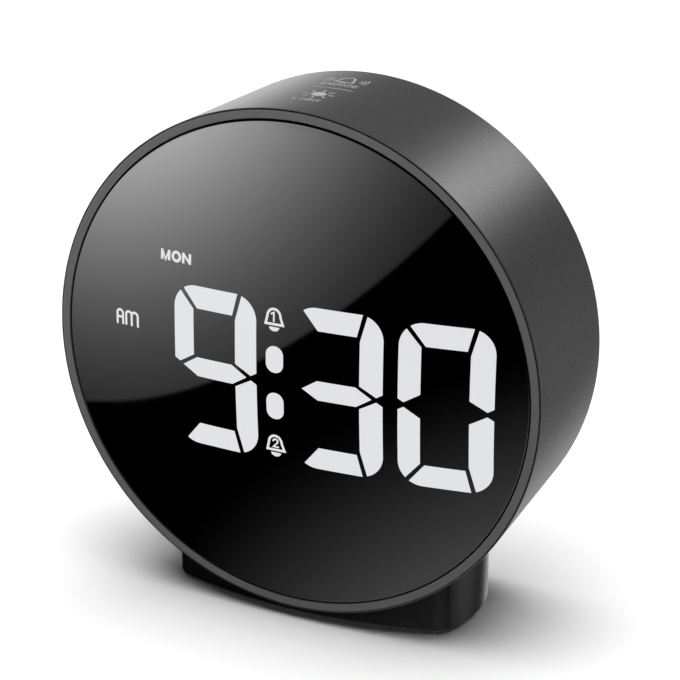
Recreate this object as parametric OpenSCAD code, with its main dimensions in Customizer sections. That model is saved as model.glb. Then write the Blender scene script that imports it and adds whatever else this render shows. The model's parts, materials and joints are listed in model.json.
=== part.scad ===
// Round desk alarm clock: a drum on a low foot, with a domed display lens in front.
// X points to the clock's right as the viewer sees it, the display faces -Y, and +Z is up.
// The origin is on the table, under the middle of the clock's depth.

/* [Drum] */
// Outer radius of the drum at its front edge
drum_r = 53; // [52.5:0.1:53.5]
// Outer radius of the drum at its rear edge, after the mould draft
rear_r = 51.6; // [51.3:0.1:52]
// Depth of the drum from its front ring to its rear edge
drum_depth = 36.4; // [36:0.1:37]
// Radius of the straight bore inside the drum
bore_r = 49.4; // [49.3:0.1:49.6]
// Height of the drum's axis above the table
axis_h = 56; // [55.8:0.1:57]

/* [Front] */
// Inner radius of the flat front ring, where the lens begins
ring_in_r = 50.93; // [50.9:0.01:51]
// Outer radius of the flat front ring
ring_out_r = 52.85; // [52.5:0.05:52.85]
// Height of the lens's crown in front of the ring
lens_apex = 5.25; // [4.5:0.05:6]
// Radius of the sphere that the lens follows
dome_r = 243; // [235:1:250]
// Thickness of the lens
lens_t = 1.6; // [1.2:0.1:1.8]

/* [Display] */
// Width of one digit
digit_w = 18.94; // [18.5:0.02:19.4]
// Height of one digit
digit_h = 34.08; // [33.5:0.02:34.6]
// Width of a segment
stroke = 4.65; // [4.4:0.05:4.8]
// Outer corner radius of a digit
digit_corner = 5; // [4.6:0.1:5.2]
// Distance between the two hour digits, and between the two minute digits
digit_pitch = 21.98; // [21.6:0.02:22.4]
// Distance from the hour digit to the first minute digit, across the colon
colon_pitch = 26.95; // [26.6:0.05:27.4]
// Distance between the weekday windows
day_pitch = 9; // [8.6:0.1:9.2]

/* [Rear] */
// Thickness of the rear cover
cover_t = 2.2; // [2:0.1:2.4]
// How far the rear cover lies inside the drum's rear edge
cover_sink = 1.2; // [1:0.1:1.4]
// Radius of the push buttons
button_r = 4; // [3.6:0.1:4.2]
// How far a button stands out of the rear cover
button_proud = 0.7; // [0.5:0.1:0.9]
// Distance between two buttons
button_pitch = 13; // [12.5:0.1:13.5]
// Radius of one battery cell
cell_r = 5.2; // [5.1:0.05:5.25]
// Length of one battery cell with its terminal
cell_len = 44.5; // [44:0.1:44.5]

/* [Foot] */
// Width of the foot
foot_w = 67.2; // [65:0.1:68]
// Depth of the foot
foot_d = 33.4; // [33:0.1:33.6]
// Thickness of the foot's walls
foot_wall = 2.2; // [2:0.1:2.4]
// How far the rubber pads stand out under the foot
pad_proud = 0.5; // [0.4:0.1:0.8]

/* [Hidden] */
$fn = 96;
dome_fn = 180;
eps = 0.01;

// Depths are measured backwards from the plane of the front ring
ring_y = (lens_apex - drum_depth) / 2;
ring_t = 0.3;
seat_r = 51.6;
seat_depth = 3.5;
ledge_in_r = 48.6;
ledge_depth = 2.3;
lens_r = ring_in_r - 0.18;
lens_rim_depth = 2.1;
rear_bevel = 0.5;
scoop_r = 48.4;

mask_t = 0.2;
mask_r = 48.2;
diffuser_t = 1.2;
block_r = 47.5;
block_depth = 6;
pcb_t = 1.6;
display_pcb_r = 47;
pcb_rear = block_depth + pcb_t;

boss_r = 3.2;
boss_rib = 3;
boss_ring_r = 44.5;
boss_angles = [45, 135, 225, 315];
pilot_r = 0.9;
screw_r = 0.88;
screw_head_r = 2;
screw_head_t = 1.5;

cover_out = drum_depth - cover_sink;
cover_in = cover_out - cover_t;
cover_r = bore_r - 0.2;

main_pcb_rear = 27;
main_pcb_size = [76, 23];
main_pcb_centre = [0, 9.5];
main_post_xy = [35, 17.5];
main_post_r = 2.6;

button_y = 5;
button_gap = 0.3;
button_flange_r = 4.9;
switch_size = 6;
switch_rear = 30.5;
plunger_r = 1.7;
plunger_rear = 31.5;

usb_xy = [26, 15.5];
usb_w = 8.94;
usb_h = 3.26;
usb_wall = 0.3;

speaker_xy = [0, 33.2];
speaker_r = 11;
speaker_front = 29.2;
grille_pitch = 3.2;
grille_r = 0.8;

bay_half_w = 25.2;
bay_top = -4.8;
bay_bottom = -38;
bay_floor = 21.4;
bay_wall = 2;
door_lip = 1.2;
door_gap = 0.3;
door_t = 2;
cell_pitch = 10.8;
cell_depth = 27.2;
contact_t = 0.4;
tail_x = bay_half_w - contact_t / 2;
tail_front = 24.2;
tail_size = [contact_t, 3, 4.6];
tab_w = 6;
tab_x = 15;
finger_r = 4;
groove_pitch = 1.5;

digit_half_w = digit_w / 2;
digit_half_h = digit_h / 2;
inner_x = digit_half_w - stroke;
inner_y = digit_half_h - stroke;
display_y = -1.53;
hour_x = -14.72;
colon_x = -1.2;
colon_size = [3.8, 5.6];
colon_rise = 4.95;
bell_rise = 13.3;
bell_size = [4.6, 5];
day_x = -24;
day_y = 20.6;
day_size = [7.6, 2.6];
noon_x = -36;
noon_rise = 6.9;
noon_size = [6, 3.6];

foot_y = ring_y + 19.5;
foot_front_r = 100;
foot_end_r = 24;
foot_corner_r = 5;
foot_fit = 0.05;
plate_t = 1.2;
plate_inset = 1.8;
foot_screw_x = 14;
plate_screw_x = 24;
pad_x = 22;
pad_r = 3.2;
pad_t = 1;
pad_y = 8.5;

plastic = [0.16, 0.16, 0.17];
copper = [0.8, 0.5, 0.3];
steel = [0.75, 0.76, 0.78];
board_green = [0.07, 0.3, 0.18];
gloss_black = [0.02, 0.02, 0.02];

// Places children drawn in the plane of the front ring: x to the right, y up, z to the viewer
module face_frame() {
    translate([0, ring_y, axis_h]) rotate([90, 0, 0]) children();
}

// Extrudes a flat outline between two depths behind the front ring
module slab(front, rear) {
    translate([0, 0, -rear]) linear_extrude(height = rear - front) children();
}

// The ball that the lens follows, moved inwards by an offset
module dome(inset) {
    translate([0, 0, lens_apex - dome_r]) sphere(r = dome_r - inset, $fn = dome_fn);
}

// Everything in front of a depth, out to a radius, and inside the lens's ball
module capped(r, inset, rear) {
    intersection() {
        dome(inset);
        translate([0, 0, -rear]) cylinder(r = r, h = rear + lens_apex);
    }
}

// A rectangle with round corners, centred on the origin
module rounded_rect(w, h, r) {
    square([w - 2 * r, h], center = true);
    square([w, h - 2 * r], center = true);
    for (x = [-1, 1], y = [-1, 1])
        translate([x * (w / 2 - r), y * (h / 2 - r)]) circle(r = r, $fn = 32);
}

// A pan-head screw whose head is outermost and whose shank runs to the front
module screw(length) {
    cylinder(r = screw_r, h = length, $fn = 24);
    difference() {
        translate([0, 0, -screw_head_t]) cylinder(r = screw_head_r, h = screw_head_t, $fn = 32);
        for (a = [0, 90])
            rotate([0, 0, a]) translate([0, 0, -screw_head_t]) cube([2.4, 0.5, 1.4], center = true);
    }
}

module at_bosses() {
    for (a = boss_angles)
        rotate([0, 0, a]) translate([boss_ring_r, 0, 0]) children();
}

function arc(c, r, a0, a1, n) =
    [for (i = [0:n]) c + r * [cos(a0 + (a1 - a0) * i / n), sin(a0 + (a1 - a0) * i / n)]];

// ---------- Display outlines ----------

corner_x = digit_half_w - digit_corner;
corner_y = digit_half_h - digit_corner;
inner_nick = 0.7;
outer_lean = 0.35;
tip_x = digit_half_w - 1.25;
tip_y = 0.49;
shoulder_y = 1.2;
root_y = 2.45;
mid_half_h = 2.03;

top_bar = concat(
    [[-inner_x + inner_nick, inner_y], [inner_x - inner_nick, inner_y]],
    [[inner_x + outer_lean, digit_half_h]],
    arc([-corner_x, corner_y], digit_corner, 90, 124, 4)
);
right_post = concat(
    [[inner_x, inner_y - inner_nick], [inner_x, root_y], [tip_x, tip_y], [digit_half_w, shoulder_y]],
    arc([corner_x, corner_y], digit_corner, 0, 71, 6)
);
left_post = concat(
    [[-digit_half_w, shoulder_y], [-tip_x, tip_y], [-inner_x, root_y], [-inner_x, inner_y - outer_lean]],
    arc([-corner_x, corner_y], digit_corner, 135, 180, 5)
);
middle_bar = [
    [-tip_x + inner_nick, 0], [-inner_x + inner_nick, -mid_half_h], [inner_x - inner_nick, -mid_half_h],
    [tip_x - inner_nick, 0], [inner_x - inner_nick, mid_half_h], [-inner_x + inner_nick, mid_half_h]
];

// The two posts on the right of a digit, which alone make a one
module one_digit() {
    for (m = [0, 1])
        mirror([0, m, 0]) polygon(right_post);
}

module full_digit() {
    one_digit();
    polygon(middle_bar);
    for (m = [0, 1])
        mirror([0, m, 0]) {
            polygon(top_bar);
            polygon(left_post);
        }
}

digit_x = [hour_x, hour_x + colon_pitch, hour_x + colon_pitch + digit_pitch];

// Every opening that light passes through: digits, colon, bells, weekdays, morning and afternoon
module windows() {
    translate([hour_x - digit_pitch, display_y]) one_digit();
    for (x = digit_x)
        translate([x, display_y]) full_digit();
    for (s = [-1, 1]) {
        translate([colon_x, display_y + s * colon_rise]) rounded_rect(colon_size[0], colon_size[1], 1.85);
        translate([colon_x, display_y + s * bell_rise]) rounded_rect(bell_size[0], bell_size[1], 1);
    }
    for (i = [0:6])
        translate([day_x + i * day_pitch, day_y]) rounded_rect(day_size[0], day_size[1], 0.4);
    for (s = [-1, 1])
        translate([noon_x, display_y + s * noon_rise]) rounded_rect(noon_size[0], noon_size[1], 0.4);
}

// ---------- Drum and front ----------

module drum_solid(extra) {
    translate([0, 0, -drum_depth]) cylinder(r1 = rear_r + extra, r2 = drum_r + extra, h = drum_depth);
}

module housing() color(plastic) difference() {
    face_frame() {
        rotate_extrude() polygon([
            [ring_out_r, -ring_t], [drum_r, -ring_t - 0.15], [rear_r, -drum_depth + rear_bevel],
            [rear_r - rear_bevel, -drum_depth], [bore_r, -drum_depth], [bore_r, -seat_depth],
            [seat_r, -seat_depth], [seat_r, -ring_t]
        ]);
        at_bosses() difference() {
            slab(pcb_rear, cover_in) {
                circle(r = boss_r, $fn = 32);
                translate([0, -boss_rib / 2]) square([bore_r - boss_ring_r + 0.5, boss_rib]);
            }
            slab(pcb_rear - 1, pcb_rear + 9) circle(r = pilot_r, $fn = 24);
            slab(cover_in - 11, cover_in + 1) circle(r = pilot_r, $fn = 24);
        }
    }
    for (s = [-1, 1])
        translate([s * foot_screw_x, foot_y, 2]) cylinder(r = pilot_r, h = 9, $fn = 24);
}

module front_bezel() color([0.3, 0.3, 0.31]) face_frame() rotate_extrude() polygon([
    [ring_in_r, 0], [ring_out_r, 0], [ring_out_r, -ring_t], [seat_r - 0.1, -ring_t],
    [seat_r - 0.1, -seat_depth], [ledge_in_r, -seat_depth], [ledge_in_r, -ledge_depth],
    [ring_in_r, -ledge_depth]
]);

module front_lens() color(gloss_black) face_frame() difference() {
    capped(lens_r, 0, lens_rim_depth);
    capped(scoop_r, lens_t, lens_rim_depth + 1);
}

module lens_adhesive() color([0.85, 0.85, 0.8]) face_frame()
    slab(lens_rim_depth, ledge_depth) difference() {
        circle(r = ring_in_r - 0.4);
        circle(r = ledge_in_r + 0.3);
    }

// ---------- Display ----------

module window_prisms(rear) {
    translate([0, 0, -rear]) linear_extrude(height = rear + lens_apex) windows();
}

module light_mask() color([0.05, 0.05, 0.05]) face_frame() difference() {
    capped(mask_r, lens_t, ledge_depth);
    capped(mask_r + 1, lens_t + mask_t, ledge_depth + 1);
    window_prisms(ledge_depth + 2);
}

module segment_diffusers() color([0.95, 0.96, 0.98]) face_frame() intersection() {
    difference() {
        capped(block_r, lens_t + mask_t, block_depth);
        capped(block_r + 1, lens_t + mask_t + diffuser_t, block_depth + 1);
    }
    window_prisms(block_depth + 2);
}

module reflector_block() color([0.9, 0.9, 0.88]) face_frame() difference() {
    capped(block_r, lens_t + mask_t, block_depth);
    window_prisms(block_depth + 1);
    at_bosses() {
        slab(-2, 3) circle(r = screw_head_r + 0.3, $fn = 32);
        slab(2, block_depth + 1) circle(r = screw_r + 0.2, $fn = 24);
    }
}

module display_pcb() color(board_green) face_frame() slab(block_depth, pcb_rear) difference() {
    circle(r = display_pcb_r);
    at_bosses() circle(r = screw_r + 0.2, $fn = 24);
}

post_x = digit_half_w - stroke / 2;
post_y = digit_half_h / 2.3;

// One lamp under each segment, turned along it
module digit_leds() {
    for (y = [-1, 0, 1])
        translate([0, y * (digit_half_h - stroke / 2), 0]) led(0);
    for (x = [-1, 1], y = [-1, 1])
        translate([x * post_x, y * post_y, 0]) led(90);
}

module led(turn) {
    rotate([0, 0, turn]) slab(block_depth - 0.8, block_depth) square([2.8, 1.4], center = true);
}

module display_leds() color([1, 0.95, 0.7]) face_frame() {
    for (x = digit_x)
        translate([x, display_y, 0]) digit_leds();
    for (s = [-1, 1]) {
        translate([hour_x - digit_pitch + post_x, display_y + s * post_y, 0]) led(90);
        translate([colon_x, display_y + s * colon_rise, 0]) led(90);
        translate([colon_x, display_y + s * bell_rise, 0]) led(0);
        translate([noon_x, display_y + s * noon_rise, 0]) led(0);
    }
    for (i = [0:6])
        translate([day_x + i * day_pitch, day_y, 0]) led(0);
}

leg_pitch = 1.27;
leg_size = [0.45, 1.4, 0.8];

// A flat chip with rows of legs on its two long sides
module chip(w, h, t, legs) {
    translate([0, 0, 0.1]) linear_extrude(height = t) square([w, h], center = true);
    for (i = [0:legs - 1], s = [-1, 1])
        translate([(i - (legs - 1) / 2) * leg_pitch, s * (h / 2 + 0.5), leg_size[2] / 2])
            cube(leg_size, center = true);
}

module display_driver_chip() color([0.08, 0.08, 0.08]) face_frame()
    translate([0, -14, -pcb_rear]) rotate([0, 180, 0]) chip(17.8, 7.5, 2.2, 14);

module display_screws() color(steel) face_frame() at_bosses()
    translate([0, 0, -3]) mirror([0, 0, 1]) screw(11);

// ---------- Boards and what they carry ----------

socket_h = 1.8;
ribbon_front = pcb_rear + socket_h;
ribbon_rear = main_pcb_rear - pcb_t - socket_h;
ribbon_y = 12;
ribbon_sway = 2.5;
ribbon_t = 0.15;

function ribbon_edge(side) = [for (i = [0:12])
    [ribbon_y + side * ribbon_t + ribbon_sway * (1 - cos(30 * i)),
     -ribbon_front - (ribbon_rear - ribbon_front) * i / 12]];

module ribbon_cable() color([0.9, 0.9, 0.92]) face_frame() translate([-5, 0, 0])
    rotate([90, 0, 90]) linear_extrude(height = 10)
        polygon(concat(ribbon_edge(-1), [for (i = [12:-1:0]) ribbon_edge(1)[i]]));

module ribbon_sockets() color([0.93, 0.92, 0.86]) face_frame() {
    slab(pcb_rear, ribbon_front) translate([0, ribbon_y]) square([13, 4], center = true);
    slab(ribbon_rear, main_pcb_rear - pcb_t) translate([0, ribbon_y]) square([13, 4], center = true);
}

module at_main_posts() {
    for (x = [-1, 1], y = [0, 1])
        translate([x * main_post_xy[0], y * main_post_xy[1]]) children();
}

module main_pcb() color(board_green) face_frame() slab(main_pcb_rear - pcb_t, main_pcb_rear) difference() {
    translate(main_pcb_centre) square(main_pcb_size, center = true);
    at_main_posts() circle(r = screw_r + 0.2, $fn = 24);
}

module clock_chip() color([0.08, 0.08, 0.08]) face_frame()
    translate([-20, 14, -main_pcb_rear + pcb_t]) chip(12.8, 7.5, 2.2, 10);

module quartz_crystal() color(steel) face_frame()
    translate([-31, 9, -main_pcb_rear + pcb_t + 1]) rotate([90, 0, 0]) cylinder(r = 1, h = 6, $fn = 24);

module capacitors() color([0.12, 0.14, 0.3]) face_frame() {
    for (x = [16, 24])
        translate([x, 8, -main_pcb_rear + pcb_t]) cylinder(r = 2.5, h = 7, $fn = 32);
}

function button_x(i) = (i - 2) * button_pitch;

module tact_switches() color([0.2, 0.2, 0.2]) face_frame() {
    for (i = [0:4])
        translate([button_x(i), button_y, 0]) difference() {
            slab(main_pcb_rear, switch_rear) square(switch_size, center = true);
            slab(switch_rear - 2.3, switch_rear + 1) circle(r = plunger_r + 0.1, $fn = 32);
        }
}

module usb_socket() color(steel) face_frame() translate([usb_xy[0], usb_xy[1], 0]) {
    difference() {
        slab(main_pcb_rear, cover_out - 0.6) rounded_rect(usb_w, usb_h, 1.4);
        slab(main_pcb_rear + 1, cover_out) rounded_rect(usb_w - 2 * usb_wall, usb_h - 2 * usb_wall, 1.1);
    }
    slab(main_pcb_rear, cover_out - 1.6) square([6.7, 0.7], center = true);
}

module main_pcb_screws() color(steel) face_frame()
    for (x = [-1, 1], y = [0, 1])
        translate([x * main_post_xy[0], y * main_post_xy[1], -main_pcb_rear + pcb_t])
            mirror([0, 0, 1]) screw(5.5);

// ---------- Speaker ----------

module speaker_basket() color([0.25, 0.25, 0.26]) face_frame() translate([speaker_xy[0], speaker_xy[1], 0])
    difference() {
        slab(speaker_front, cover_in) circle(r = speaker_r);
        slab(speaker_front + 0.8, cover_in + 1) circle(r = speaker_r - 0.9);
    }

module speaker_cone() color([0.1, 0.1, 0.1]) face_frame()
    translate([speaker_xy[0], speaker_xy[1], -cover_in + 0.8]) difference() {
        cylinder(r1 = speaker_r - 1.1, r2 = 4, h = 2, $fn = 64);
        translate([0, 0, -0.4]) cylinder(r1 = speaker_r - 1.1, r2 = 4, h = 2, $fn = 64);
    }

module speaker_magnet() color(steel) face_frame() translate([speaker_xy[0], speaker_xy[1], 0])
    slab(speaker_front - 3.2, speaker_front) circle(r = 6.5, $fn = 64);

module speaker_wires() color([0.7, 0.1, 0.1]) face_frame()
    for (s = [-1, 1])
        translate([s * 3, speaker_xy[1] - speaker_r - 0.1, -main_pcb_rear - 0.5]) {
            rotate([90, 0, 0]) cylinder(r = 0.45, h = 5, $fn = 16);
            sphere(r = 0.45, $fn = 16);
            rotate([180, 0, 0]) cylinder(r = 0.45, h = speaker_front - main_pcb_rear - 0.5 + 1, $fn = 16);
        }

// ---------- Touch key under the drum's top ----------

touch_half_angle = 8;
touch_front = 6;
touch_rear = 27;

module touch_electrode() color(copper) face_frame()
    translate([0, 0, -touch_rear]) rotate([0, 0, 90 - touch_half_angle])
        rotate_extrude(angle = 2 * touch_half_angle)
            translate([bore_r - 0.2, 0]) square([0.2, touch_rear - touch_front]);

module touch_wire() color([0.2, 0.3, 0.7]) face_frame()
    translate([5, main_pcb_centre[1] + 6, -main_pcb_rear + pcb_t + 0.45])
        rotate([-90, 0, 0]) cylinder(r = 0.45, h = bore_r - 0.7 - main_pcb_centre[1] - 6, $fn = 16);

// ---------- Rear ----------

bay_h = bay_top - bay_bottom;
bay_mid = (bay_top + bay_bottom) / 2;
rebate_w = 2 * (bay_half_w + door_lip + door_gap);
rebate_h = bay_h + 2 * (door_lip + door_gap);
door_w = 2 * (bay_half_w + door_lip);
door_h = bay_h + 2 * door_lip;
door_low = bay_mid - door_h / 2;

// The battery door's outline: round at the top corners, square at the hinge
module door_rect(w, h, r) {
    translate([0, bay_mid]) rounded_rect(w, h, r);
    translate([-w / 2, bay_mid - h / 2]) square([w, 2 * r]);
}

module bay_rect(grow) {
    translate([0, bay_mid]) square([2 * (bay_half_w + grow), bay_h + 2 * grow], center = true);
}

module grille_holes() {
    for (i = [-2:2], j = [-2:2])
        if (abs(i + j) <= 2)
            translate(speaker_xy + grille_pitch * [i + j / 2, j * sin(60)])
                circle(r = grille_r, $fn = 24);
}

module rear_cover() color(plastic) face_frame() difference() {
    union() {
        slab(cover_in, cover_out) circle(r = cover_r);
        slab(bay_floor - 1.2, cover_in + eps) bay_rect(bay_wall);
        slab(main_pcb_rear, cover_in + eps) at_main_posts() circle(r = main_post_r, $fn = 32);
        slab(speaker_front + 1, cover_in + eps) translate(speaker_xy) difference() {
            circle(r = speaker_r + 1.3);
            circle(r = speaker_r + 0.1);
        }
    }
    slab(bay_floor, cover_out + 1) bay_rect(0);
    slab(cover_out - door_t, cover_out + 1) door_rect(rebate_w, rebate_h, 2);
    for (s = [-1, 1]) {
        slab(cover_out - door_t - 2.6, cover_out - door_t + 1)
            translate([s * tab_x, bay_bottom - bay_wall / 2])
                square([tab_w + 0.8, bay_wall + eps], center = true);
        slab(tail_front - 0.2, tail_front + tail_size[2] + 0.2)
            translate([s * tail_x, bay_top + 1]) square([contact_t, tail_size[1]], center = true);
    }
    slab(cover_out - 1, cover_out + 1) translate([0, bay_top + 1]) circle(r = finger_r, $fn = 48);
    for (i = [0:4])
        slab(cover_in - 1, cover_out + 1) translate([button_x(i), button_y])
            circle(r = button_r + button_gap);
    slab(cover_in - 1, cover_out + 1) translate(usb_xy) rounded_rect(usb_w + 0.7, usb_h + 0.7, 1.7);
    slab(cover_in - 1, cover_out + 1) grille_holes();
    at_bosses() {
        slab(cover_in - 1, cover_out + 1) circle(r = screw_r + 0.3, $fn = 24);
        slab(cover_out - screw_head_t, cover_out + 1) circle(r = screw_head_r + 0.3, $fn = 32);
    }
    at_main_posts() slab(main_pcb_rear - 1, cover_in - 0.5) circle(r = pilot_r, $fn = 24);
}

module rear_cover_screws() color(steel) face_frame() at_bosses()
    translate([0, 0, -cover_out + screw_head_t]) screw(10);

function cell_y(i) = bay_mid + (1 - i) * cell_pitch;
function cell_side(i) = i == 1 ? -1 : 1;

module battery_cells() color([0.15, 0.35, 0.2]) face_frame()
    for (i = [0:2])
        translate([cell_side(i) * (bay_half_w - contact_t - 1), cell_y(i), -cell_depth])
            rotate([0, -90 * cell_side(i), 0]) {
                cylinder(r = cell_r, h = cell_len - 1, $fn = 64);
                translate([0, 0, -1]) cylinder(r = 1.9, h = 1.5, $fn = 32);
            }

// Stamped plates that touch the cells' ends, the first with a tail to the board
module contact_plates(side, spans) {
    for (s = spans)
        translate([side * (bay_half_w - contact_t / 2), (cell_y(s[0]) + cell_y(s[1])) / 2, -cell_depth])
            cube([contact_t, 9 + cell_y(s[0]) - cell_y(s[1]), 9], center = true);
}

module contact_tail(side) {
    for (y = [bay_top + 1, cell_y(0) + 4.5])
        translate([side * tail_x, y, -tail_front - tail_size[2] / 2]) cube(tail_size, center = true);
}

module battery_contacts_left() color(steel) face_frame() {
    contact_plates(-1, [[0, 0], [1, 2]]);
    contact_tail(-1);
}

module battery_contacts_right() color(steel) face_frame() {
    contact_plates(1, [[0, 1], [2, 2]]);
}

spring_wire_r = 0.35;
spring_turns = 3;
spring_rings = 36;
spring_sides = 6;
spring_len = 2 * bay_half_w - 2 * contact_t - cell_len;

function coil_point(t) = let (r = 3.6 - 1.2 * t, a = 360 * spring_turns * t)
    [r * cos(a), r * sin(a), spring_wire_r + (spring_len - 2 * spring_wire_r) * t];

function coil_ring(k) = let (t = k / spring_rings, c = coil_point(t), a = 360 * spring_turns * t)
    [for (j = [0:spring_sides - 1]) let (b = 360 * j / spring_sides)
        c + spring_wire_r * (cos(b) * [cos(a), sin(a), 0] + sin(b) * [0, 0, 1])];

module coil_spring() {
    rings = [for (k = [0:spring_rings]) for (p = coil_ring(k)) p];
    sides = [for (k = [0:spring_rings - 1]) for (j = [0:spring_sides - 1])
        let (a = k * spring_sides + j, b = k * spring_sides + (j + 1) % spring_sides)
            [a, b, b + spring_sides, a + spring_sides]];
    first = [for (j = [spring_sides - 1:-1:0]) j];
    last = [for (j = [0:spring_sides - 1]) spring_rings * spring_sides + j];
    polyhedron(points = rings, faces = concat(sides, [first, last]), convexity = 8);
}

module battery_springs() color(steel) face_frame()
    for (i = [0:2])
        translate([-cell_side(i) * (bay_half_w - contact_t), cell_y(i), -cell_depth])
            rotate([0, 90 * cell_side(i), 0]) coil_spring();

module battery_door() color(plastic) face_frame() {
    difference() {
        union() {
            slab(cover_out - door_t, cover_out) intersection() {
                door_rect(door_w, door_h, 1.7);
                translate([-door_w, door_low + door_t / 2]) square([2 * door_w, door_h]);
            }
            translate([-door_w / 2, door_low + door_t / 2, -cover_out + door_t / 2])
                rotate([0, 90, 0]) cylinder(r = door_t / 2, h = door_w, $fn = 32);
        }
        for (k = [0:4])
            slab(cover_out - 0.5, cover_out + 1)
                translate([0, bay_top - 2.5 - groove_pitch * k]) square([14, 0.6], center = true);
    }
    for (s = [-1, 1]) {
        slab(cover_out - door_t - 1.7, cover_out - door_t + eps)
            translate([s * tab_x - tab_w / 2, bay_bottom + 0.3]) square([tab_w, 1.5]);
        slab(cover_out - door_t - 1.7, cover_out - door_t - 0.3)
            translate([s * tab_x - tab_w / 2, bay_bottom - 1.5]) square([tab_w, 2]);
    }
}

// ---------- Foot ----------

foot_c1 = [0, foot_d / 2 - foot_front_r];
foot_c2 = [foot_w / 2 - foot_end_r, 0];

// Centre of the arc that rounds the corner between the foot's front and its end
function corner_centre() = let (
        r1 = foot_front_r - foot_corner_r,
        r2 = foot_end_r - foot_corner_r,
        d = norm(foot_c2 - foot_c1),
        a = (r1 * r1 - r2 * r2 + d * d) / (2 * d),
        h = sqrt(r1 * r1 - a * a),
        u = (foot_c2 - foot_c1) / d
    ) foot_c1 + a * u + h * [u[1], -u[0]];

function angle_of(v) = atan2(v[1], v[0]);

// One quarter of the foot's outline, from its side to its front, moved inwards
function foot_quarter(inset) = let (
        f = corner_centre(),
        a_end = angle_of(f - foot_c2),
        a_front = angle_of(f - foot_c1)
    ) concat(
        arc(foot_c2, foot_end_r - inset, 0, a_end, 6),
        arc(f, foot_corner_r - inset, a_end + 2, a_front, 6),
        arc(foot_c1, foot_front_r - inset, a_front + 1, 90, 6)
    );

function foot_outline(inset) = let (q = foot_quarter(inset), n = len(q)) concat(
        q,
        [for (i = [n - 2:-1:0]) [-q[i][0], q[i][1]]],
        [for (i = [1:n - 1]) [-q[i][0], -q[i][1]]],
        [for (i = [n - 2:-1:1]) [q[i][0], -q[i][1]]]
    );

module foot_prism(inset, low, high) {
    translate([0, foot_y, low]) linear_extrude(height = high - low) polygon(foot_outline(inset));
}

foot_low = pad_proud;
plate_top = foot_low + plate_t;
foot_high = 18;

module foot() color(gloss_black) difference() {
    union() {
        difference() {
            foot_prism(0, foot_low, foot_high);
            difference() {
                foot_prism(foot_wall, foot_low - 1, foot_high);
                face_frame() drum_solid(foot_wall);
            }
        }
        for (s = [-1, 1]) {
            translate([s * foot_screw_x, foot_y, plate_top]) cylinder(r = 3.2, h = 6, $fn = 32);
            translate([s * plate_screw_x, foot_y, plate_top]) cylinder(r = 2.6, h = 9, $fn = 32);
        }
    }
    foot_prism(plate_inset - 0.1, foot_low - 1, plate_top);
    face_frame() drum_solid(foot_fit);
    for (s = [-1, 1]) {
        translate([s * foot_screw_x, foot_y, 0]) {
            cylinder(r = screw_r + 0.2, h = 10, $fn = 24);
            cylinder(r = screw_head_r + 0.2, h = plate_top + screw_head_t, $fn = 32);
        }
        translate([s * plate_screw_x, foot_y, 0]) cylinder(r = pilot_r, h = 8, $fn = 24);
    }
}

module foot_base_plate() color([0.1, 0.1, 0.1]) difference() {
    foot_prism(plate_inset, foot_low, plate_top);
    for (s = [-1, 1]) {
        translate([s * plate_screw_x, foot_y, 0]) {
            cylinder(r = screw_r + 0.2, h = 3, $fn = 24);
            cylinder(r = screw_head_r + 0.2, h = foot_low + 0.6, $fn = 32);
        }
        for (t = [-1, 1])
            translate([s * pad_x, foot_y + t * pad_y, 0]) cylinder(r = pad_r + 0.1, h = pad_t, $fn = 48);
    }
}

module foot_pads() color([0.08, 0.08, 0.08])
    for (s = [-1, 1], t = [-1, 1])
        translate([s * pad_x, foot_y + t * pad_y, 0]) cylinder(r = pad_r, h = pad_t, $fn = 48);

module foot_screws() color(steel)
    for (s = [-1, 1])
        translate([s * foot_screw_x, foot_y, plate_top + screw_head_t]) screw(6);

module base_plate_screws() color(steel)
    for (s = [-1, 1])
        translate([s * plate_screw_x, foot_y, foot_low + 0.55]) plate_screw();

// A flat-headed short screw
module plate_screw() {
    cylinder(r = screw_r, h = 6, $fn = 24);
    translate([0, 0, -0.5]) cylinder(r = screw_head_r, h = 0.5, $fn = 32);
}

// ---------- Buttons ----------

module button(i) color([0.12, 0.12, 0.12]) face_frame() translate([button_x(i), button_y, 0]) {
    slab(plunger_rear + 0.4, cover_out + button_proud) circle(r = button_r, $fn = 64);
    slab(plunger_rear + 0.4, cover_in - button_gap) circle(r = button_flange_r, $fn = 64);
    slab(plunger_rear, plunger_rear + 0.5) circle(r = 1.6, $fn = 32);
}

module plunger(i) color([0.3, 0.3, 0.3]) face_frame() translate([button_x(i), button_y, 0])
    slab(plunger_rear - 2.5, plunger_rear) circle(r = plunger_r, $fn = 32);

housing();
front_bezel();
front_lens();
lens_adhesive();
light_mask();
segment_diffusers();
reflector_block();
display_pcb();
display_leds();
display_driver_chip();
display_screws();
ribbon_cable();
ribbon_sockets();
main_pcb();
clock_chip();
quartz_crystal();
capacitors();
tact_switches();
usb_socket();
main_pcb_screws();
speaker_basket();
speaker_cone();
speaker_magnet();
speaker_wires();
touch_electrode();
touch_wire();
rear_cover();
rear_cover_screws();
battery_cells();
battery_contacts_left();
battery_contacts_right();
battery_springs();
battery_door();
foot();
foot_base_plate();
foot_pads();
foot_screws();
base_plate_screws();
button(0);  // set_button
button(1);  // up_button
button(2);  // down_button
button(3);  // alarm_1_button
button(4);  // alarm_2_button
plunger(0);  // set_plunger
plunger(1);  // up_plunger
plunger(2);  // down_plunger
plunger(3);  // alarm_1_plunger
plunger(4);  // alarm_2_plunger
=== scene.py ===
import json
import math

import bmesh
import bpy
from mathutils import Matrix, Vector
from mathutils.geometry import tessellate_polygon


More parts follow.
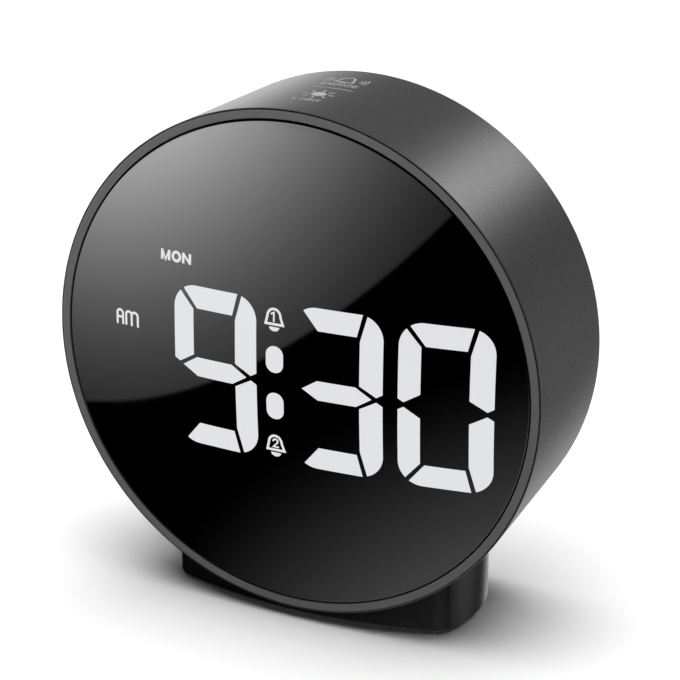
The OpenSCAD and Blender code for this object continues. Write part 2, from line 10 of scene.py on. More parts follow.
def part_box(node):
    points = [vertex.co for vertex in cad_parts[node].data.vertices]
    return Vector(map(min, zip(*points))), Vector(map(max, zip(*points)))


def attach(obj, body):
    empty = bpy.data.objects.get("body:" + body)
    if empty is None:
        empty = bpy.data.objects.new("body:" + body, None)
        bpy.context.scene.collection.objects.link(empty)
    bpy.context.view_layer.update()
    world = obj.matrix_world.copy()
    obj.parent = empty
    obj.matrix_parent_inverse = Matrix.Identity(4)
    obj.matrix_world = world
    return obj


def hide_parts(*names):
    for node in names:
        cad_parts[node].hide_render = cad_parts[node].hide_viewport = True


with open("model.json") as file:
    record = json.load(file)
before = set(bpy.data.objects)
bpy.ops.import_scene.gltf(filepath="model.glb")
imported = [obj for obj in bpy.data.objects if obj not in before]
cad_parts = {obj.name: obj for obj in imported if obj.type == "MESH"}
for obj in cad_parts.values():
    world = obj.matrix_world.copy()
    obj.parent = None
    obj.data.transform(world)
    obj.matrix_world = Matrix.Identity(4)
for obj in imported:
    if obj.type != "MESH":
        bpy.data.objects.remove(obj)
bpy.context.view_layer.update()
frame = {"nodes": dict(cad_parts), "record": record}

# ---------- The frame, in millimetres ----------
# Face coordinates: x to the viewer's right, y up from the drum's axis,
# n towards the viewer from the ring's plane.

MM = 0.001
ring_lo, ring_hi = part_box("front_bezel")
lens_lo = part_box("front_lens")[0]
drum_lo, drum_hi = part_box("housing")
cover_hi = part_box("rear_cover")[1]
foot_lo, foot_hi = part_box("foot")

RING_Y = round(ring_lo.y / MM, 3)
AXIS_Z = round((ring_lo.z + ring_hi.z) / 2 / MM, 2)
APEX = round(RING_Y - lens_lo.y / MM, 2)
DEPTH = round(drum_hi.y / MM - RING_Y, 2)
DRUM_R = round((drum_hi.z - drum_lo.z) / 2 / MM, 2)
COVER_Y = round(cover_hi.y / MM, 2)
FOOT_Y = round((foot_lo.y + foot_hi.y) / 2 / MM, 3)
FOOT_W = round((foot_hi.x - foot_lo.x) / MM, 2)
FOOT_D = round((foot_hi.y - foot_lo.y) / MM, 2)
FOOT_Z = round(foot_lo.z / MM, 2)
REAR_R = 51.6  # the drum's radius at the rear: it tapers towards it
DOME_R = 243.0  # the radius of the lens's sphere


def face(x, y, n):
    return Vector((x, RING_Y - n, AXIS_Z + y)) * MM


def dome_n(r, inset=0.0):
    """The height of the lens's dome over the ring's plane, at a radius from the axis."""
    return APEX - DOME_R + math.sqrt((DOME_R - inset) ** 2 - r * r)


def drum_r(depth):
    """The drum's outer radius at a depth behind the ring's plane."""
    return DRUM_R - (DRUM_R - REAR_R) * depth / DEPTH


def arc(cx, cy, rx, ry, a0, a1, n):
    """n + 1 points round an ellipse, from a0 to a1 degrees."""
    return [(cx + rx * math.cos(math.radians(a0 + (a1 - a0) * i / n)),
             cy + ry * math.sin(math.radians(a0 + (a1 - a0) * i / n))) for i in range(n + 1)]


# ---------- Camera: the photo's view ----------

cam = bpy.data.objects.new("camera", bpy.data.cameras.new("camera"))
bpy.context.scene.collection.objects.link(cam)
bpy.context.scene.camera = cam
cam.data.sensor_width = 36
cam.data.lens = 119.97
eye = Vector((189.78, -382.33, 227.91)) * MM
aim = Vector((7.96, -9.30, 61.38)) * MM
cam.location = eye
cam.rotation_mode = "QUATERNION"
cam.rotation_quaternion = (aim - eye).to_track_quat("-Z", "Y")
cam.data.clip_start = 0.01
cam.data.clip_end = 50

# ---------- Materials ----------


class Nodes:
    """Adds nodes to a tree and links them in one call."""

    def __init__(self, tree):
        self.tree = tree
        tree.nodes.clear()

    def add(self, kind, links=None, **values):
        node = self.tree.nodes.new(kind)
        for key, value in values.items():
            setattr(node, key, value)
        for key, value in (links or {}).items():
            socket = node.inputs[key]
            if isinstance(value, bpy.types.NodeSocket):
                self.tree.links.new(value, socket)
            else:
                socket.default_value = value
        return node.outputs

    def math(self, operation, a, b=0.0):
        return self.add("ShaderNodeMath", {0: a, 1: b}, operation=operation)[0]

    def dot(self, vector, with_):
        return self.add("ShaderNodeVectorMath", {0: vector, 1: with_}, operation="DOT_PRODUCT")["Value"]

    def range(self, value, lo, hi, to_lo, to_hi):
        return self.add("ShaderNodeMapRange", {0: value, 1: lo, 2: hi, 3: to_lo, 4: to_hi})[0]

    def mix(self, factor, a, b):
        return self.add("ShaderNodeMix", {0: factor, 6: a, 7: b}, data_type="RGBA")[2]


GRAIN_DEPTH = 0.02 * MM


def shade(color, gain):
    """A colour made lighter or darker, with an alpha of 1."""
    return tuple(min(1.0, c * gain) for c in color) + (1.0,)


def surface(name, color, rough, metal=0.0, grain=2500, bump=0.2, vary=0.12, emit=None, spread=0.06,
            level=0.5):
    """A moulded, printed or plated surface: fine grain in bump and gloss, slow clouds in colour."""
    made = bpy.data.materials.new(name)
    made.use_nodes = True
    n = Nodes(made.node_tree)
    at = n.add("ShaderNodeTexCoord")["Object"]
    slow = n.add("ShaderNodeTexNoise", {"Vector": at, "Scale": 90, "Detail": 3.0})[0]
    fine = n.add("ShaderNodeTexNoise", {"Vector": at, "Scale": grain, "Detail": 2.0})[0]
    tint = n.mix(slow, shade(color, 1 - vary), shade(color, 1 + vary))
    gloss = n.range(fine, 0.3, 0.7, max(0.02, rough - spread), rough + spread)
    relief = n.add("ShaderNodeBump", {"Strength": bump, "Distance": GRAIN_DEPTH, "Height": fine})[0]
    sockets = {"Base Color": tint, "Roughness": gloss, "Metallic": metal, "IOR": 1.5, "Normal": relief,
               "Specular IOR Level": level}
    if emit:
        sockets["Emission Color"] = n.mix(slow, shade(emit, 0.985), shade(emit, 1.0))
        sockets["Emission Strength"] = 1.0
    shader = n.add("ShaderNodeBsdfPrincipled", sockets)[0]
    n.add("ShaderNodeOutputMaterial", {"Surface": shader})
    return made


LIT = (0.745, 0.75, 0.762)
MATERIALS = {
    "housing_plastic": surface("satin_drum", (0.036, 0.036, 0.0365), 0.28, grain=3500, bump=0.05,
                               vary=0.05, spread=0.03),
    "bezel_plastic": surface("satin_ring", (0.074, 0.074, 0.0745), 0.42, grain=3500, bump=0.06, vary=0.04),
    "smoked_lens": surface("smoked_lens", (0.0002, 0.0002, 0.0003), 0.03, grain=60, bump=0.0, spread=0.008),
    "segment_light": surface("lit_segment", (0.02, 0.02, 0.02), 0.35, emit=LIT, bump=0.0, level=0.1),
    "black_film": surface("black_film", (0.01, 0.01, 0.01), 0.55),
    "white_plastic": surface("white_plastic", (0.78, 0.78, 0.75), 0.4),
    "tape": surface("tape", (0.7, 0.69, 0.64), 0.8, grain=1200, bump=0.5),
    "circuit_board": surface("circuit_board", (0.02, 0.12, 0.06), 0.35, grain=1500, vary=0.3),
    "led": surface("led_resin", (0.9, 0.85, 0.55), 0.2),
    "chip_black": surface("chip_epoxy", (0.02, 0.02, 0.02), 0.6, bump=0.5),
    "capacitor_sleeve": surface("capacitor_sleeve", (0.03, 0.05, 0.16), 0.3),
    "steel": surface("nickel_plate", (0.6, 0.6, 0.61), 0.28, metal=1.0, grain=1800, bump=0.15),
    "cable_jacket": surface("cable_jacket", (0.78, 0.78, 0.78), 0.35),
    "red_wire": surface("red_wire", (0.5, 0.03, 0.03), 0.35),
    "blue_wire": surface("blue_wire", (0.05, 0.1, 0.5), 0.35),
    "copper": surface("copper_foil", (0.75, 0.42, 0.25), 0.35, metal=1.0, grain=800),
    "speaker_paper": surface("speaker_paper", (0.03, 0.03, 0.03), 0.9, grain=1500, bump=0.8),
    "battery_sleeve": surface("battery_sleeve", (0.03, 0.16, 0.08), 0.25, vary=0.2),
    "cover_plastic": surface("satin_cover", (0.04, 0.04, 0.041), 0.42, grain=2600, bump=0.35, vary=0.08),
    "button_plastic": surface("matt_button", (0.028, 0.028, 0.028), 0.5, grain=3000, bump=0.3),
    "gloss_black": surface("gloss_foot", (0.003, 0.003, 0.0031), 0.16, grain=500, bump=0.02,
                           spread=0.03, level=0.1),
    "base_plastic": surface("matt_base", (0.02, 0.02, 0.02), 0.6, grain=1800, bump=0.5),
    "pad_rubber": surface("pad_rubber", (0.03, 0.03, 0.03), 0.85, grain=1500, bump=0.6),
}
TOP_INK = surface("top_ink", (0.36, 0.36, 0.37), 0.5, bump=0.0)
REAR_INK = surface("rear_ink", (0.45, 0.45, 0.46), 0.5, bump=0.0)

slots = {part["node"]: part["material_slot"] for part in frame["record"]["subparts"]}
# Nodes that show from outside, with the radius that softens their edges
OUTSIDE = {"rear_cover": 0.25, "battery_door": 0.25, "foot_base_plate": 0.3, "foot_pads": 0.25,
           "set_button": 0.45, "up_button": 0.45, "down_button": 0.45, "alarm_1_button": 0.45,
           "alarm_2_button": 0.45, "usb_socket": 0.06, "rear_cover_screws": 0.08, "base_plate_screws": 0.08}
for node_name, node in frame["nodes"].items():
    node.data.materials.clear()
    node.data.materials.append(MATERIALS[slots[node_name]])
    if node_name in OUTSIDE:
        weld = node.modifiers.new("weld", "WELD")
        weld.merge_threshold = 0.000002
        bevel = node.modifiers.new("edge", "BEVEL")
        bevel.width = OUTSIDE[node_name] * MM
        bevel.segments = 3
        bevel.limit_method = "ANGLE"
        bevel.angle_limit = math.radians(40)
        bevel.harden_normals = True

# ---------- Mesh helpers ----------


def finish_piece(name, verts, faces, slot, stands_for=(), material=None, sharp=32, body="clock"):
    """Makes a smooth-shaded piece that rides a body and may stand for CAD nodes."""
    mesh = bpy.data.meshes.new(name)
    mesh.from_pydata([tuple(v) for v in verts], [], faces)
    bm = bmesh.new()
    bm.from_mesh(mesh)
    bmesh.ops.remove_doubles(bm, verts=bm.verts, dist=1e-7)
    bmesh.ops.recalc_face_normals(bm, faces=bm.faces)
    bm.to_mesh(mesh)
    bm.free()
    for polygon in mesh.polygons:
        polygon.use_smooth = True
    mesh.set_sharp_from_angle(angle=math.radians(sharp))
    mesh.materials.append(material or MATERIALS[slot])
    piece = bpy.data.objects.new(name, mesh)
    bpy.context.scene.collection.objects.link(piece)
    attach(piece, body)
    if stands_for:
        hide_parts(*stands_for)
    return piece


def lathe(name, profile, slot, node, turns=256):
    """Turns a closed (radius, n) outline round the drum's axis. A radius of 0 is a pole."""
    verts, rows = [], []
    for r, n in profile:
        if r < 1e-6:
            verts.append(face(0, 0, n))
            rows.append([len(verts) - 1] * turns)
        else:
            rows.append(list(range(len(verts), len(verts) + turns)))
            verts += [face(r * math.cos(2 * math.pi * k / turns), r * math.sin(2 * math.pi * k / turns), n)
                      for k in range(turns)]
    faces = []
    for a, b in zip(rows, rows[1:] + rows[:1]):
        if a[0] == a[1] and b[0] == b[1]:
            continue
        for k in range(turns):
            j = (k + 1) % turns
            quad = [a[k], a[j], b[j], b[k]]
            faces.append([v for i, v in enumerate(quad) if v not in quad[:i]])
    piece = finish_piece(name, verts, faces, slot, [node])
    weighted = piece.modifiers.new("normals", "WEIGHTED_NORMAL")
    weighted.keep_sharp = True
    return piece


def edge_round(r0, n0, r1, n1, steps=5):
    """A quarter round from (r0, n0), where the outline is flat, to (r1, n1), where it is upright."""
    return [(r0 + (r1 - r0) * math.sin(math.radians(90 * i / steps)),
             n1 + (n0 - n1) * math.cos(math.radians(90 * i / steps))) for i in range(steps + 1)]


# ---------- Drum, ring and lens ----------

QUARTER = (0, 15, 30, 45, 60, 75, 90)
LIP = 0.12  # how far the drum's front edge lies behind the ring
LIP_ROUND = 0.1
LIP_IN_R = 52.84
REAR_ROUND = 0.6
BORE_R = 49.4
RECESS_R = 51.8  # the recess that takes the ring
RECESS_N = -3.6
STEP_N = -1.0  # the step under the ring's rim
drum_profile = (
    edge_round(DRUM_R - LIP_ROUND, -LIP, DRUM_R, -LIP - LIP_ROUND, 3)
    + [(drum_r(d), -d) for d in (2, 8, 14, 20, 26, 32)]
    + [(drum_r(DEPTH) - REAR_ROUND * (1 - math.cos(math.radians(a))),
        -DEPTH + REAR_ROUND * (1 - math.sin(math.radians(a)))) for a in QUARTER]
    + [(BORE_R + 0.35, -DEPTH), (BORE_R + 0.2, -DEPTH + 0.05), (BORE_R, -DEPTH + 0.25), (BORE_R, RECESS_N)]
    + [(RECESS_R, RECESS_N), (RECESS_R, STEP_N), (LIP_IN_R, STEP_N), (LIP_IN_R, -LIP - 0.06)]
)
lathe("drum_shell", drum_profile, "housing_plastic", "housing")

RING_IN_R = 50.98
RING_OUT_R = 52.62
RING_ROUND = 0.06
LEDGE_IN_R = 48.6  # the ledge behind the lens
LEDGE_N = -2.3
ring_profile = (
    [(RING_IN_R, LEDGE_N), (RING_IN_R, -0.05), (RING_IN_R + 0.05, 0.0)]
    + [(r, 0.0) for r in (51.2, 51.8, 52.4)]
    + edge_round(RING_OUT_R - RING_ROUND, 0.0, RING_OUT_R, -RING_ROUND, 3)
    + [(RING_OUT_R, -0.95), (51.55, -0.95), (51.5, -3.5), (LEDGE_IN_R, -3.5), (LEDGE_IN_R, LEDGE_N)]
)
lathe("front_ring", ring_profile, "bezel_plastic", "front_bezel")

SUNK = 0.03  # keeps the lit inlays proud of the lens
LENS_T = 1.6
LENS_R = 50.76
SHOULDER_R = 50.38  # where the dome turns into the lens's edge
lens_profile = (
    [(r, dome_n(r) - SUNK) for r in [0] + [1.5 * k for k in range(1, 33)] + [49.2, 50.0]]
    + edge_round(SHOULDER_R, dome_n(SHOULDER_R) - SUNK, LENS_R, -0.5, 6)
    + [(LENS_R, -2.1), (48.4, -2.1)]
    + [(r, dome_n(r, LENS_T) - SUNK) for r in (48.0, 40, 32, 24, 16, 8, 0)]
)
lathe("lens_cover", lens_profile, "smoked_lens", "front_lens")

# ---------- Thin inlays: lit segments and printed marks ----------


def ribbon(path, width, closed=False, caps=True):
    """Quads along a path, with half-round caps where it is open."""
    count = len(path)
    faces, sides = [], []
    for i, (x, y) in enumerate(path):
        if closed:
            a, b = path[i - 1], path[(i + 1) % count]
        else:
            a, b = path[max(0, i - 1)], path[min(count - 1, i + 1)]
        d0 = Vector((x - a[0], y - a[1]))
        d1 = Vector((b[0] - x, b[1] - y))
        d0 = d0.normalized() if d0.length > 1e-9 else d1.normalized()
        d1 = d1.normalized() if d1.length > 1e-9 else d0
        t = (d0 + d1).normalized()
        m = width / 2 / max(0.55, t.dot(d1))
        sides.append(((x - t.y * m, y + t.x * m), (x + t.y * m, y - t.x * m)))
    pairs = list(zip(sides, sides[1:] + sides[:1])) if closed else list(zip(sides, sides[1:]))
    for (l0, r0), (l1, r1) in pairs:
        faces.append([l0, r0, r1, l1])
    if caps and not closed:
        for end, other in ((0, 1), (-1, -2)):
            x, y = path[end]
            angle = math.degrees(math.atan2(y - path[other][1], x - path[other][0]))
            faces.append(arc(x, y, width / 2, width / 2, angle - 90, angle + 90, 8))
    return faces


def inlay(name, outlines, place, top, bottom, slot, material=None, cell=3.0):
    """A closed slab whose faces follow the surface that place() maps flat points onto."""
    bm = bmesh.new()
    for outline in outlines:
        points = [Vector((x, y, 0)) for x, y in outline]
        made = [bm.verts.new(p) for p in points]
        for triangle in tessellate_polygon([points]):
            corners = [made[k] for k in triangle]
            if len(set(corners)) == 3:
                bm.faces.new(corners)
    bmesh.ops.remove_doubles(bm, verts=bm.verts, dist=1e-5)
    for axis in (0, 1):
        values = [v.co[axis] for v in bm.verts]
        k = math.ceil(min(values) / cell)
        while k * cell < max(values):
            normal = Vector((1, 0, 0)) if axis == 0 else Vector((0, 1, 0))
            bmesh.ops.bisect_plane(bm, geom=bm.verts[:] + bm.edges[:] + bm.faces[:],
                                   plane_co=normal * (k * cell), plane_no=normal, dist=1e-6)
            k += 1
    bm.normal_update()
    for f in bm.faces:
        if f.normal.z < 0:
            f.normal_flip()
    bm.verts.index_update()
    flat = [(v.co.x, v.co.y) for v in bm.verts]
    count = len(flat)
    verts = [place(x, y, top) for x, y in flat] + [place(x, y, bottom) for x, y in flat]
    faces = []
    for f in bm.faces:
        ring = [v.index for v in f.verts]
        faces.append(ring)
        faces.append([i + count for i in reversed(ring)])
        for loop in f.loops:
            if len(loop.edge.link_faces) == 1:
                a, b = loop.vert.index, loop.link_loop_next.vert.index
                faces.append([b, a, a + count, b + count])
    bm.free()
    return finish_piece(name, verts, faces, slot, material=material, sharp=30)


def mirrored(points):
    return [(x, -y) for x, y in points]


def bell(cx, base, width, height):
    """The centreline of a bell's outline: flat base, leaning sides, round crown."""
    half = width / 2
    crown = half * 0.76
    crown_x = cx - 0.08
    shoulder = base + height * 0.48
    return ([(cx - half, base)] + arc(crown_x, shoulder, crown, height * 0.52, 180, 0, 16)
            + [(cx + half, base)])


def on_dome(x, y, lift):
    return face(x, y, dome_n(math.hypot(x, y)) + lift)


# The marks' outlines are as on a surface 1 mm behind the lens's front. They are moved to where the
# photo's camera sees them in the lens's skin.
SKIN_SCALE = 0.99725
SKIN_SHIFT = (0.52, 0.47)
SKIN_T = 0.12


def lit(name, outlines):
    """One lit mark, let into the skin of the lens."""
    placed = [[(SKIN_SCALE * x + SKIN_SHIFT[0], SKIN_SCALE * y + SKIN_SHIFT[1]) for x, y in outline]
              for outline in outlines]
    return inlay(name, placed, on_dome, 0.0, -SKIN_T, "segment_light")


# A digit's segments, about the digit's middle. The lower three mirror the upper three.
CORNER = (4.47, 12.04)
CORNER_R = 5
SEG_A = ([(-4.11, 12.39), (4.01, 12.4), (5.16, 17.04)]
         + arc(-CORNER[0], CORNER[1], CORNER_R, CORNER_R, 90, 124, 6))
SEG_B = ([(4.68, 11.54), (4.66, 2.41), (8.17, 0.48), (9.47, 1.23)]
         + arc(CORNER[0], CORNER[1], CORNER_R, CORNER_R, 0, 71, 12))
SEG_F = ([(-9.47, 1.14), (-8.29, 0.49), (-4.96, 2.49), (-4.97, 12.14)]
         + arc(-CORNER[0], CORNER[1], CORNER_R, CORNER_R, 135, 180, 8))
SEG_G = [(-7.50, -0.04), (-4.24, 2.04), (3.83, 2.04), (7.18, -0.04), (3.98, -2.03), (-4.11, -2.03)]
SEGMENTS = {"A": SEG_A, "B": SEG_B, "C": mirrored(SEG_B), "D": mirrored(SEG_A), "E": mirrored(SEG_F),
            "F": SEG_F, "G": SEG_G}
DISPLAY_Y = -1.53


def digit(name, x, segments):
    lit(name, [[(x + px, DISPLAY_Y + py) for px, py in SEGMENTS[s]] for s in segments])


digit("lit_hour_9", -14.72, "ABCDFG")
digit("lit_minute_tens_3", 12.23, "ABCDG")
digit("lit_minute_0", 34.21, "ABCDEF")


def round_box(x0, x1, y0, y1, r):
    return (arc(x1 - r, y1 - r, r, r, 0, 90, 8) + arc(x0 + r, y1 - r, r, r, 90, 180, 8)
            + arc(x0 + r, y0 + r, r, r, 180, 270, 8) + arc(x1 - r, y0 + r, r, r, 270, 360, 8))


DOT_R = 1.85
lit("lit_colon", [round_box(-3.1, 0.7, low, high, DOT_R) for low, high in ((0.62, 6.22), (-9.31, -3.66))])

NUMERALS = {1: [[(-0.62, 0.62), (-0.1, 0.9), (-0.1, -0.85)]],
            2: [arc(-0.05, 0.42, 0.52, 0.48, 165, -25, 8) + [(-0.55, -0.8), (0.55, -0.8)]]}
BELL_SIZE = (3.8, 3.12)
BELL_STROKE = 0.51
CLAPPER_SIZE = (1.12, 0.88)
CLAPPER_DROP = 0.58
NUMERAL_RISE = 1.46
NUMERAL_STROKE = 0.37


def small_bell(cx, base, number):
    """A bell outline with a clapper below it and a numeral inside."""
    shapes = ribbon(bell(cx, base, *BELL_SIZE), BELL_STROKE, closed=True)
    shapes.append(arc(cx, base - CLAPPER_DROP, *CLAPPER_SIZE, 180, 360, 12))
    for path in NUMERALS[number]:
        shapes += ribbon([(cx + x, base + NUMERAL_RISE + y) for x, y in path], NUMERAL_STROKE)
    return shapes


lit("lit_bell_1", small_bell(-1.27, 10.75, 1))
lit("lit_bell_2", small_bell(-1.32, -16.18, 2))

MON_STROKE = 0.58
BASELINE = 19.52
CAP = 21.62
mon = []
for x, top in ((-27.27, CAP), (-25.58, CAP)):
    mon += ribbon([(x, BASELINE), (x, top)], MON_STROKE, caps=False)
mon += ribbon([(-27.24, 21.56), (-26.42, 19.6), (-25.61, 21.56)], 0.42, caps=False)
mon += ribbon(arc(-23.845, 20.6, 0.85, 0.9, 0, 354, 36), MON_STROKE, closed=True)
for x, top in ((-22.2, CAP + 0.04), (-20.62, CAP + 0.04)):
    mon += ribbon([(x, BASELINE), (x, top)], MON_STROKE, caps=False)
mon += ribbon([(-22.26, 21.58), (-20.56, 19.6)], 0.46, caps=False)
lit("lit_day", mon)

# The A is one arch with a bar. The M is two arches that share a stem.
AM_STROKE = 0.51
AM_BASELINE = 3.98
am = ribbon([(-38.62, 3.86)] + arc(-37.91, 6.02, 0.71, 0.72, 180, 0, 14) + [(-37.2, 3.94)], AM_STROKE)
am += ribbon([(-38.62, 5.25), (-37.2, 5.25)], 0.47)
am += ribbon([(-36.38, AM_BASELINE)] + arc(-35.68, 6.08, 0.7, 0.68, 180, 0, 12)
             + [(-34.98, AM_BASELINE)], AM_STROKE)
am += ribbon(arc(-34.2, 6.08, 0.78, 0.68, 180, 0, 12) + [(-33.42, AM_BASELINE)], 0.52)
lit("lit_am", am)

# ---------- Printed marks ----------

# Strokes in a unit box. A path of more than four points is a curve, drawn as one ribbon.
LETTERS = {
    "S": [arc(0.5, 0.74, 0.46, 0.26, 30, 270, 9) + arc(0.5, 0.24, 0.46, 0.24, 66, -150, 8)],
    "N": [[(0, 0), (0, 1), (1, 0), (1, 1)]],
    "O": [arc(0.5, 0.5, 0.5, 0.5, 0, 345, 23) + [(1.0, 0.5)]],
    "Z": [[(0, 1), (1, 1), (0, 0), (1, 0)]],
    "E": [[(1, 1), (0, 1), (0, 0), (1, 0)], [(0, 0.5), (0.85, 0.5)]],
    "L": [[(0, 1), (0, 0), (1, 0)]],
    "I": [[(0.5, 0), (0.5, 1)]],
    "G": [arc(0.5, 0.5, 0.5, 0.5, 45, 345, 15), [(0.98, 0.45), (0.6, 0.45)]],
    "H": [[(0, 0), (0, 1)], [(1, 0), (1, 1)], [(0, 0.5), (1, 0.5)]],
    "T": [[(0, 1), (1, 1)], [(0.5, 1), (0.5, 0)]],
    "+": [[(0, 0.5), (1, 0.5)], [(0.5, 0), (0.5, 1)]],
    "-": [[(0, 0.5), (1, 0.5)]],
}


def words(text, x0, x1, y0, y1, width, share=0.66):
    """Stroke letters that fill a box, each share of its cell wide."""
    cell = (x1 - x0) / (len(text) - 1 + share)
    shapes = []
    for k, letter in enumerate(text):
        for path in LETTERS[letter]:
            flat = [(x0 + cell * (k + share * px), y0 + (y1 - y0) * py) for px, py in path]
            if len(path) > 4:
                closed = path[0] == path[-1]
                shapes += ribbon(flat[:-1] if closed else flat, width, closed=closed)
            else:
                for a, b in zip(flat, flat[1:]):
                    shapes += ribbon([a, b], width)
    return shapes


def on_drum(u, v, lift):
    """A point of the drum's top: u across it to the right, v behind the ring's plane."""
    r = drum_r(v) + lift
    return Vector((r * math.sin(u / r), RING_Y + v, AXIS_Z + r * math.cos(u / r))) * MM


def on_rear(u, v, lift):
    """A point of the rear cover, seen from behind: u to the right, v up from the axis."""
    return Vector((-u, COVER_Y + lift, AXIS_Z + v)) * MM


INK_TOP = 0.02
INK_BOTTOM = -0.05


def printed_top(name, shapes):
    inlay(name, shapes, on_drum, INK_TOP, INK_BOTTOM, None, TOP_INK, cell=1.0)


BELL_X = -0.55
WORD_STROKE = 0.26
snooze = ribbon(bell(BELL_X, 25.55, 3.9, 3.8), 0.42, closed=True)
snooze.append(arc(BELL_X, 25.1, 0.8, 0.55, 180, 360, 10))
for middle in (180, 0):
    for step in range(3):
        radius = 3.05 + 0.68 * step
        spread = 17 + 3 * step
        snooze += ribbon(arc(BELL_X, 27.3, radius, radius, middle - spread, middle + spread, 8), 0.24)
printed_top("print_snooze_bell", snooze)
printed_top("print_snooze_word", words("SNOOZE", -4.45, 3.5, 22.4, 24.0, WORD_STROKE))
printed_top("print_divider", ribbon([(-4.6, 19.9), (4.0, 19.9)], 0.28))
SUN_AT = (-0.5, 14.2)
SUN_R = 1.55
RAY = (2.2, 3.2)
sun_mark = [arc(*SUN_AT, SUN_R, SUN_R, 0, 350, 35)]
for k in range(8):
    a = math.radians(45 * k)
    sun_mark += ribbon([(SUN_AT[0] + q * math.cos(a), SUN_AT[1] + q * math.sin(a)) for q in RAY], 0.4)
printed_top("print_light_sun", sun_mark)
printed_top("print_light_word", words("LIGHT", -3.3, 2.1, 8.45, 9.95, WORD_STROKE))

REAR_MARKS = {"set": "SET", "up": "+", "down": "-", "alarm_1": 1, "alarm_2": 2}
REAR_BELL = 0.45  # the size of the rear's bells beside the display's
for key, mark in REAR_MARKS.items():
    key_lo, key_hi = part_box(key + "_button")
    low = key_hi.z / MM - AXIS_Z + 1.1
    u = -(key_lo.x + key_hi.x) / 2 / MM
    if mark in (1, 2):
        shapes = [[(u + REAR_BELL * x, low - 0.1 + REAR_BELL * y) for x, y in o]
                  for o in small_bell(0, 0.8, mark)]
    elif len(mark) == 1:
        shapes = words(mark, u - 0.6, u + 0.6, low + 0.1, low + 1.3, WORD_STROKE, share=1.0)
    else:
        shapes = words(mark, u - 1.9, u + 1.9, low + 0.1, low + 1.5, 0.24)
    inlay("print_rear_" + key, shapes, on_rear, INK_TOP, INK_BOTTOM, None, REAR_INK, cell=5.0)

# ---------- Foot ----------

FRONT_ARC = 100.0
END_ARC = 24.0
CORNER_ARC = 5.0


def foot_outline(inset):
    """The foot's plan outline, centred on the foot: long arcs front and rear, short arcs at the ends."""
    c1 = Vector((0, FOOT_D / 2 - FRONT_ARC))
    c2 = Vector((FOOT_W / 2 - END_ARC, 0))
    r1, r2 = FRONT_ARC - CORNER_ARC, END_ARC - CORNER_ARC
    d = (c2 - c1).length
    a = (r1 * r1 - r2 * r2 + d * d) / (2 * d)
    h = math.sqrt(r1 * r1 - a * a)
    u = (c2 - c1) / d
    c3 = c1 + a * u + h * Vector((u.y, -u.x))
    end = math.degrees(math.atan2(c3.y - c2.y, c3.x - c2.x))
    front = math.degrees(math.atan2(c3.y - c1.y, c3.x - c1.x))
    quarter = (arc(c2.x, c2.y, END_ARC - inset, END_ARC - inset, 0, end, 14)
               + arc(c3.x, c3.y, CORNER_ARC - inset, CORNER_ARC - inset, end + 4, front - 2, 12)
               + arc(c1.x, c1.y, FRONT_ARC - inset, FRONT_ARC - inset, front, 90, 24))
    return (quarter + [(-x, y) for x, y in quarter[-2::-1]] + [(-x, -y) for x, y in quarter[1:]]
            + [(x, -y) for x, y in quarter[-2:0:-1]])


def drum_under(x, y, gap):
    """The height of the drum's underside over a point of the table."""
    r = drum_r(y - RING_Y) + gap
    return AXIS_Z - math.sqrt(r * r - x * x)


FOOT_ROUND = 0.45
WALL = 2.2
PLATE_INSET = 1.7
PLATE_TOP = 1.7
FIT = 0.05
steps = [(FOOT_ROUND * (1 - math.sin(math.radians(a))),
          FOOT_Z + FOOT_ROUND * (1 - math.cos(math.radians(a)))) for a in QUARTER]
# (inset, height) up the outside and down the inside; None is the drum's underside
levels = ([(PLATE_INSET, FOOT_Z)] + steps
          + [(0, None), (WALL, None), (WALL, PLATE_TOP), (PLATE_INSET, PLATE_TOP)])
verts, rows = [], []
for inset, z in levels:
    outline = foot_outline(inset)
    rows.append(list(range(len(verts), len(verts) + len(outline))))
    for x, y in outline:
        height = z if z is not None else drum_under(x, FOOT_Y + y, FIT)
        verts.append(Vector((x, FOOT_Y + y, height)) * MM)
around = len(rows[0])
faces = [[a[k], a[(k + 1) % around], b[(k + 1) % around], b[k]]
         for a, b in zip(rows, rows[1:] + rows[:1]) for k in range(around)]
finish_piece("foot_shell", verts, faces, "gloss_black", ["foot"])

# ---------- Stage: floor, studio light ----------

FLOOR_HALF = 6000 * MM
floor_corners = [(x * FLOOR_HALF, y * FLOOR_HALF, 0) for x, y in ((-1, -1), (1, -1), (1, 1), (-1, 1))]
floor_mesh = bpy.data.meshes.new("floor")
floor_mesh.from_pydata(floor_corners, [], [[0, 1, 2, 3]])
floor = bpy.data.objects.new("floor", floor_mesh)
bpy.context.scene.collection.objects.link(floor)
floor_mesh.materials.append(surface("pale_floor", (0.86, 0.86, 0.86), 0.9, bump=0.0, vary=0.0, level=0.0))
floor.visible_glossy = False

# A wide overhead light, tilted a little from the front. Reflections come from the world instead.
lamp = bpy.data.lights.new("overhead", "SUN")
lamp.energy = 4.2
lamp.angle = math.radians(58)
overhead = bpy.data.objects.new("overhead", lamp)
overhead.rotation_euler = (math.radians(4), 0, 0)
overhead.visible_camera = False
overhead.visible_glossy = False
bpy.context.scene.collection.objects.link(overhead)


def toward(azimuth, elevation):
    """A direction; azimuth 0 looks along +Y and grows towards +X."""
    a, e = math.radians(azimuth), math.radians(elevation)
    return (math.sin(a) * math.cos(e), math.cos(a) * math.cos(e), math.sin(e))


world = bpy.data.worlds.new("studio")
bpy.context.scene.world = world
world.use_nodes = True
w = Nodes(world.node_tree)
sky = w.add("ShaderNodeTexCoord")["Generated"]
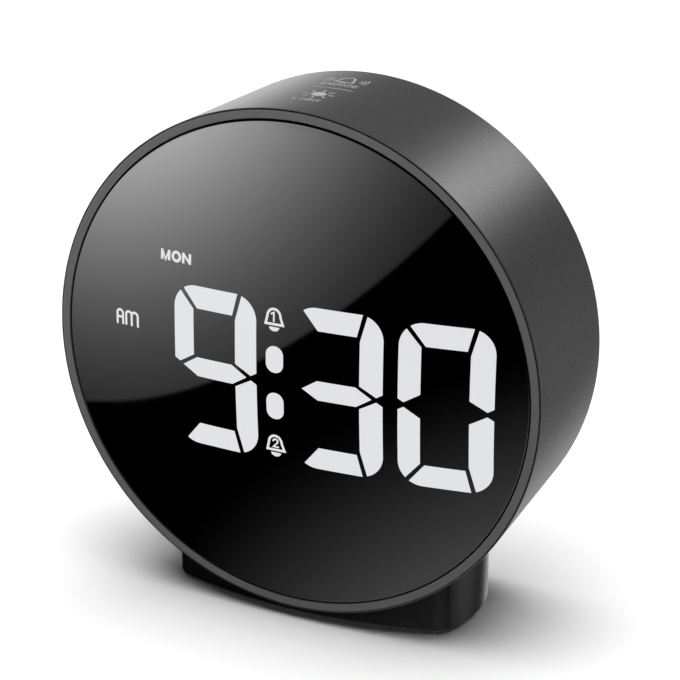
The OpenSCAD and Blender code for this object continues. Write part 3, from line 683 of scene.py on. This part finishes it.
# A large soft source at the front left, fitted to its reflection in the photo's lens. It grows along
# one direction, ends at a straight edge, and fades out above the horizon.
GLOW_SLOPE = (-8.557, -7.092, 3.673)
GLOW_LEVEL = -8.77
GLOW_MOST = 9.0
EDGE_NORMAL = (0.72235, 0.40171, -0.56288)
EDGE_FADE = (-0.461, -0.455)
LID_FADE = (0.075, 0.14)
glow = w.math("EXPONENT", w.math("ADD", w.dot(sky, GLOW_SLOPE), GLOW_LEVEL))
glow = w.math("MINIMUM", glow, GLOW_MOST)
cut = w.range(w.dot(sky, EDGE_NORMAL), *EDGE_FADE, 1.0, 0.0)
lid = w.range(w.dot(sky, (0.0, 0.0, 1.0)), *LID_FADE, 1.0, 0.0)
total = w.math("MULTIPLY", w.math("MULTIPLY", glow, cut), lid)
# The table in front, lighter to the right, fitted in the same way
TABLE_SLOPE = (1.28, -1.3126, -3.757)
TABLE_LEVEL = -2.351
TABLE_MOST = 1.4
low = w.math("MAXIMUM", w.math("ADD", w.dot(sky, TABLE_SLOPE), TABLE_LEVEL), 0.0)
total = w.math("ADD", total, w.math("MINIMUM", w.math("MULTIPLY", low, low), TABLE_MOST))
# Soft round sources behind and beside the clock: direction, sharpness, strength
LOBES = ((toward(-34.5, -3), 33, 1.55), (toward(17, 26.5), 95, 6.3), (toward(-7, -32), 30, 0.76),
         (toward(38, -8), 8, 0.23), (toward(58, -18), 20, 1.9), (toward(-12, 29), 25, 0.22))
for direction, kappa, amount in LOBES:
    power = w.math("MULTIPLY", w.math("SUBTRACT", w.dot(sky, direction), 1.0), kappa)
    total = w.math("ADD", total, w.math("MULTIPLY", w.math("EXPONENT", power), amount))
# The camera sees plain white behind the floor
BACKDROP = 1.05
seen = w.add("ShaderNodeLightPath")["Is Camera Ray"]
env = w.add("ShaderNodeBackground", {"Color": (1, 1, 1, 1), "Strength": total})[0]
backdrop = w.add("ShaderNodeBackground", {"Color": (1, 1, 1, 1), "Strength": BACKDROP})[0]
w.add("ShaderNodeOutputWorld", {"Surface": w.add("ShaderNodeMixShader", {0: seen, 1: env, 2: backdrop})[0]})

bpy.context.scene.view_settings.view_transform = "Standard"
